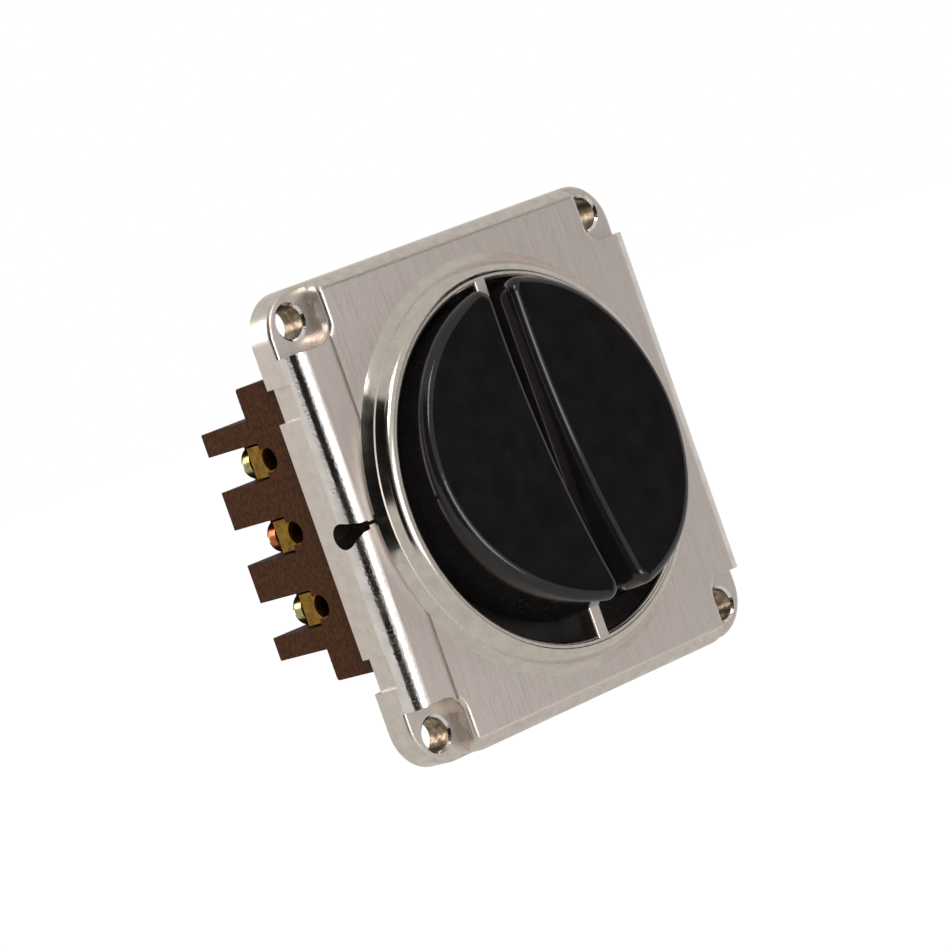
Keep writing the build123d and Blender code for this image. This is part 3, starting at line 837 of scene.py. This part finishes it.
@dataclass
class Screws:
    """Every screw of the switch."""

    terminal_head_d: float = 5.0 * MM
    terminal_head_h: float = 2.5 * MM
    terminal_shank_d: float = 2.9 * MM
    base_head_d: float = 4.2 * MM
    base_head_h: float = 1.8 * MM
    base_head_dome: float = 1.3 * MM
    base_shank_d: float = 2.6 * MM
    thread_pitch: float = 0.6 * MM

    def build(self) -> None:
        """Make the screws of each terminal row and those through the base."""
        low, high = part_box("outer_terminal_screws")
        clamp = SlottedScrew(self.terminal_head_d, self.terminal_head_h, self.terminal_shank_d,
                             high.y - low.y - self.terminal_head_h, self.thread_pitch)
        under = high.y - self.terminal_head_h
        outer = [self.over_block(row, side, under) for row in ("upper", "lower") for side in SIDES]
        common = [self.over_block("common", side, under) for side in SIDES]
        clamp.place("outer_terminal_screws", Slot.STEEL, PLATED_SCREW, outer)
        clamp.place("common_terminal_screws", Slot.COPPER, COPPER_SCREW, common)
        low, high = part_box("base_screws")
        long_screw = SlottedScrew(self.base_head_d, self.base_head_h, self.base_shank_d,
                                  high.y - low.y - self.base_head_h, self.thread_pitch,
                                  dome=self.base_head_dome)
        inset = self.base_head_d / 2
        seats = [Vector((x, high.y - self.base_head_h, z))
                 for x in (low.x + inset, high.x - inset) for z in (low.z + inset, high.z - inset)]
        long_screw.place("base_screws", Slot.STEEL, OXIDE_STEEL, seats)

    @staticmethod
    def over_block(row: str, side: str, under: float) -> Vector:
        """Find where a clamp screw goes over its terminal block.

        Args:
            row: Row of the terminal.
            side: Side of the switch.
            under: How far back the underside of the head is.

        Returns:
            Middle of the underside of the head.
        """
        low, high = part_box(f"{row}_terminal_{side}")
        return Vector(((low.x + high.x) / 2, under, (low.z + high.z) / 2))


@dataclass
class PlungerSprings:
    """Round-wire springs behind the plungers."""

    wire_d: float = 0.45 * MM
    turns: int = 4
    wire_facets: int = 12
    steps: int = 32

    def build(self) -> None:
        """Wind both springs where their nodes are."""
        joints = {joint["name"]: joint for joint in frame["joints"]}
        for side in SIDES:
            node = f"plunger_spring_{side}"
            press = joints[f"{side}_plunger_press"]
            outward = Vector(press["axis"]).normalized()
            low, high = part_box(node)
            width = high.x - low.x
            length = (high.y - low.y - width * abs(outward.z)) / abs(outward.y)
            middle = (low + high) / 2
            spring = self.wind(f"{side}_plunger_coil", width, length)
            turn = outward.to_track_quat("Z", "X").to_matrix().to_4x4()
            spring.data.transform(Matrix.Translation(middle) @ turn)
            smooth(spring)
            dress(spring, GROUND_STEEL)
            seat(spring, node)
            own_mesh(spring)

    def wind(self, name: str, width: float, length: float) -> bpy.types.Object:
        """Wind one upright spring round the origin.

        Args:
            name: Name of the piece.
            width: Outer diameter of the coil.
            length: Length from end to end.

        Returns:
            The spring.
        """
        pitch = (length - self.wire_d) / self.turns
        deselect()
        bpy.ops.mesh.primitive_circle_add(vertices=self.wire_facets, radius=self.wire_d / 2,
                                          fill_type="NGON")
        spring = bpy.context.object
        spring.name = name
        spring.data.transform(Matrix.Rotation(math.pi / 2, 4, "X"))
        offset = Vector(((width - self.wire_d) / 2, 0, -(length - self.wire_d) / 2))
        spring.data.transform(Matrix.Translation(offset))
        apply_modifier(spring, "SCREW", {"screw_offset": pitch, "iterations": self.turns,
                                         "steps": self.steps, "render_steps": self.steps})
        close_up(spring, sides=self.wire_facets)
        return spring


@dataclass
class Mechanism:
    """Axle, plungers, seesaws, contacts and clamp blocks, with their edges broken."""

    small_edge: float = 0.06 * MM
    block_edge: float = 0.12 * MM

    def build(self) -> None:
        """Make a finished copy of every small part."""
        self.make("pivot_axle", GROUND_STEEL, Slot.STEEL, self.small_edge)
        self.make("fixed_contact_tips", CONTACT_SILVER, Slot.SILVER, self.small_edge)
        for side in SIDES:
            self.make(f"plunger_{side}", WHITE_NYLON, Slot.NYLON, self.small_edge)
            self.make(f"seesaw_{side}", BRASS_STRIP, Slot.BRASS, self.small_edge)
            self.make(f"seesaw_contacts_{side}", CONTACT_SILVER, Slot.SILVER, self.small_edge)
            for row in ROWS:
                self.make(f"{row}_contact_{side}", BRASS_STRIP, Slot.BRASS, self.small_edge)
                self.make(f"{row}_terminal_{side}", OCHRE_BRASS, Slot.BRASS, self.block_edge)

    @staticmethod
    def make(node: str, finish: Finish, slot: Slot, edge: float) -> None:
        """Copy a node, break its edges and dress it.

        Args:
            node: Node that the piece stands for.
            finish: Finish of the piece.
            slot: Record slot of the finish; not used.
            edge: Width of the broken edges in metres.
        """
        piece = merged_copy(node, f"{node}_finished")
        break_edges(piece, edge)
        dress(piece, finish)
        seat(piece, node)


def hide_from_light(card: bpy.types.Object) -> None:
    """Let an object show in reflections only.

    Args:
        card: Flag or backdrop.
    """
    card.visible_camera = False
    card.visible_diffuse = False
    card.visible_shadow = False
    card.visible_transmission = False


@dataclass
class Studio:
    """Camera, lights, floor and dark flags of the photograph."""

    camera_place: tuple[float, float, float] = (-507.245 * MM, -547.798 * MM, 42.794 * MM)
    right: tuple[float, float, float] = (0.68125804, -0.65245539, -0.33194794)
    down: tuple[float, float, float] = (-0.28086002, 0.18579339, -0.94159358)
    forward: tuple[float, float, float] = (0.67602154, 0.7346991, -0.0566754)
    lens: float = 200.188
    sensor: float = 36.0
    clip: tuple[float, float] = (0.05, 50.0)
    floor_height: float = -0.25
    floor_size: float = 12.0
    floor_glow: float = 1.1
    floor_share: float = 0.9
    room_light: float = 0.36
    tent_size: tuple[float, float, float] = (3.0, 3.0, 1.5)
    tent_facets: tuple[int, int] = (48, 24)
    tent_glow: float = 0.74

    def build(self) -> None:
        """Set up everything that isn't part of the object."""
        bpy.context.scene.view_settings.view_transform = "Standard"
        self.camera()
        self.world()
        self.floor()
        self.tent()
        self.lamps()
        self.flags()

    def camera(self) -> None:
        """Place the camera where the photograph was taken."""
        data = bpy.data.cameras.new("camera")
        data.lens = self.lens
        data.sensor_width = self.sensor
        data.clip_start, data.clip_end = self.clip
        camera = bpy.data.objects.new("camera", data)
        bpy.context.scene.collection.objects.link(camera)
        axes = [Vector(self.right), -Vector(self.down), -Vector(self.forward)]
        turn = Matrix([list(axis) for axis in axes]).transposed().to_4x4()
        camera.matrix_world = Matrix.Translation(self.camera_place) @ turn
        bpy.context.scene.camera = camera

    @staticmethod
    def seen(tree: bpy.types.NodeTree) -> bpy.types.NodeSocket:
        """Add the test for rays that look at the background.

        Args:
            tree: Node tree that takes the test.

        Returns:
            1 for camera, glossy and transmission rays, and 0 for the rest.
        """
        path = add_node(tree, "ShaderNodeLightPath")
        first = add_node(tree, "ShaderNodeMath", {"operation": "ADD", "use_clamp": True}, {
            0: path.outputs["Is Camera Ray"], 1: path.outputs["Is Glossy Ray"]})
        both = add_node(tree, "ShaderNodeMath", {"operation": "ADD", "use_clamp": True}, {
            0: first.outputs[0], 1: path.outputs["Is Transmission Ray"]})
        return both.outputs[0]

    def world(self) -> None:
        """White surroundings that light the object at a plain level."""
        world = bpy.data.worlds.new("white_tent")
        world.use_nodes = True
        tree = world.node_tree
        tree.nodes.clear()
        level = add_node(tree, "ShaderNodeMapRange", None, {
            "Value": self.seen(tree), "To Min": self.room_light, "To Max": 1.0})
        glow = add_node(tree, "ShaderNodeBackground", None, {
            "Color": linear("#FFFFFF"), "Strength": level.outputs["Result"]})
        add_node(tree, "ShaderNodeOutputWorld", None, {"Surface": glow.outputs[0]})
        bpy.context.scene.world = world

    def floor(self) -> None:
        """Pale floor well below the switch."""
        deselect()
        bpy.ops.mesh.primitive_plane_add(size=self.floor_size, location=(0, 0, self.floor_height))
        floor = bpy.context.object
        floor.name = "floor"
        material = bpy.data.materials.new("pale_floor")
        material.use_nodes = True
        tree = material.node_tree
        tree.nodes.clear()
        paper = add_node(tree, "ShaderNodeBsdfDiffuse", None, {"Color": linear("#F4F3F1")})
        glow = add_node(tree, "ShaderNodeEmission", None, {
            "Color": linear("#FFFFFF"), "Strength": self.floor_glow})
        share = add_node(tree, "ShaderNodeMath", {"operation": "MULTIPLY"}, {
            0: self.seen(tree), 1: self.floor_share})
        mixed = add_node(tree, "ShaderNodeMixShader", None, {
            0: share.outputs[0], 1: paper.outputs[0], 2: glow.outputs[0]})
        add_node(tree, "ShaderNodeOutputMaterial", None, {"Surface": mixed.outputs[0]})
        floor.data.materials.append(material)

    def tent(self) -> None:
        """Grey room round the switch, which shows only as a reflection."""
        deselect()
        above = self.floor_height + self.tent_size[2] + MM
        bpy.ops.mesh.primitive_uv_sphere_add(segments=self.tent_facets[0],
                                             ring_count=self.tent_facets[1],
                                             scale=self.tent_size, location=(0, 0, above))
        tent = bpy.context.object
        tent.name = "grey_room"
        material = bpy.data.materials.new("grey_paper")
        material.use_nodes = True
        tree = material.node_tree
        tree.nodes.clear()
        glow = add_node(tree, "ShaderNodeEmission", None, {
            "Color": linear("#FFFFFF"), "Strength": self.tent_glow})
        add_node(tree, "ShaderNodeOutputMaterial", None, {"Surface": glow.outputs[0]})
        tent.data.materials.append(material)
        hide_from_light(tent)

    def lamps(self) -> None:
        """Soft boxes in front, above and behind, and a small lamp beside the camera.

        The top box and the small lamp stay out of the reflections.
        """
        boxes = (
            Lamp("window_box", (-0.03, -0.87, -0.03), (0.36, 0.34), 2.0),
            Lamp("key_box", (-0.35, -1.0, 0.75), (0.5, 0.5), 5.0),
            Lamp("top_box", (0.3, -0.3, 1.1), (0.7, 0.7), 4.0, glossy=False),
            Lamp("rear_box", (-0.7, 0.9, 0.5), (0.6, 0.6), 4.0),
            Lamp("flash", (-0.47, -0.52, 0.09), (0.1, 0.1), 4.0, glossy=False),
        )
        for box in boxes:
            box.hang()

    def flags(self) -> None:
        """Dark flags that show only as reflections in the metal and the keys."""
        material = bpy.data.materials.new("black_cloth")
        material.use_nodes = True
        tree = material.node_tree
        tree.nodes.clear()
        cloth = add_node(tree, "ShaderNodeBsdfDiffuse", None, {"Color": linear("#0B0A0A")})
        add_node(tree, "ShaderNodeOutputMaterial", None, {"Surface": cloth.outputs[0]})
        flags = (
            Flag("camera_flag", 221.5, 15.0, 0.5, 0.37, 0.6),
            Flag("left_flag", 190.0, 28.0, 0.5, 0.17, 0.46),
            Flag("front_flag", 312.6, 6.0, 0.6, 0.15, 0.5),
        )
        for flag in flags:
            flag.hang(material)


@dataclass(frozen=True)
class Lamp:
    """Soft box that looks at the origin, with its size in metres and its power in watts."""

    name: str
    place: tuple[float, float, float]
    size: tuple[float, float]
    power: float
    glossy: bool = True

    def hang(self) -> None:
        """Add the lamp to the scene."""
        data = bpy.data.lights.new(self.name, "AREA")
        data.shape = "RECTANGLE"
        data.size, data.size_y = self.size
        data.energy = self.power
        lamp = bpy.data.objects.new(self.name, data)
        bpy.context.scene.collection.objects.link(lamp)
        lamp.location = self.place
        lamp.visible_glossy = self.glossy
        lamp.rotation_euler = (-Vector(self.place)).to_track_quat("-Z", "Y").to_euler()


@dataclass(frozen=True)
class Flag:
    """Dark card round the object: where it stands in degrees and metres, and its size."""

    name: str
    azimuth: float
    elevation: float
    distance: float
    width: float
    height: float

    def hang(self, material: bpy.types.Material) -> None:
        """Add the card to the scene, hidden from the camera and from soft light.

        Args:
            material: What the card is covered with.
        """
        turn, rise = math.radians(self.azimuth), math.radians(self.elevation)
        away = Vector((math.cos(turn) * math.cos(rise), math.sin(turn) * math.cos(rise),
                       math.sin(rise)))
        deselect()
        bpy.ops.mesh.primitive_plane_add(size=1.0)
        card = bpy.context.object
        card.name = self.name
        card.scale = (self.width, self.height, 1.0)
        card.rotation_euler = (-away).to_track_quat("Z", "Y").to_euler()
        card.location = away * self.distance
        card.data.materials.append(material)
        hide_from_light(card)


def main() -> None:
    """Build the studio and every sub-assembly."""
    logging.basicConfig(level=logging.INFO, format="%(name)s %(message)s")
    Studio().build()
    FacePlate().build()
    Rockers().build()
    Mouldings().build()
    Screws().build()
    PlungerSprings().build()
    Mechanism().build()


if __name__ == "__main__":
    main()
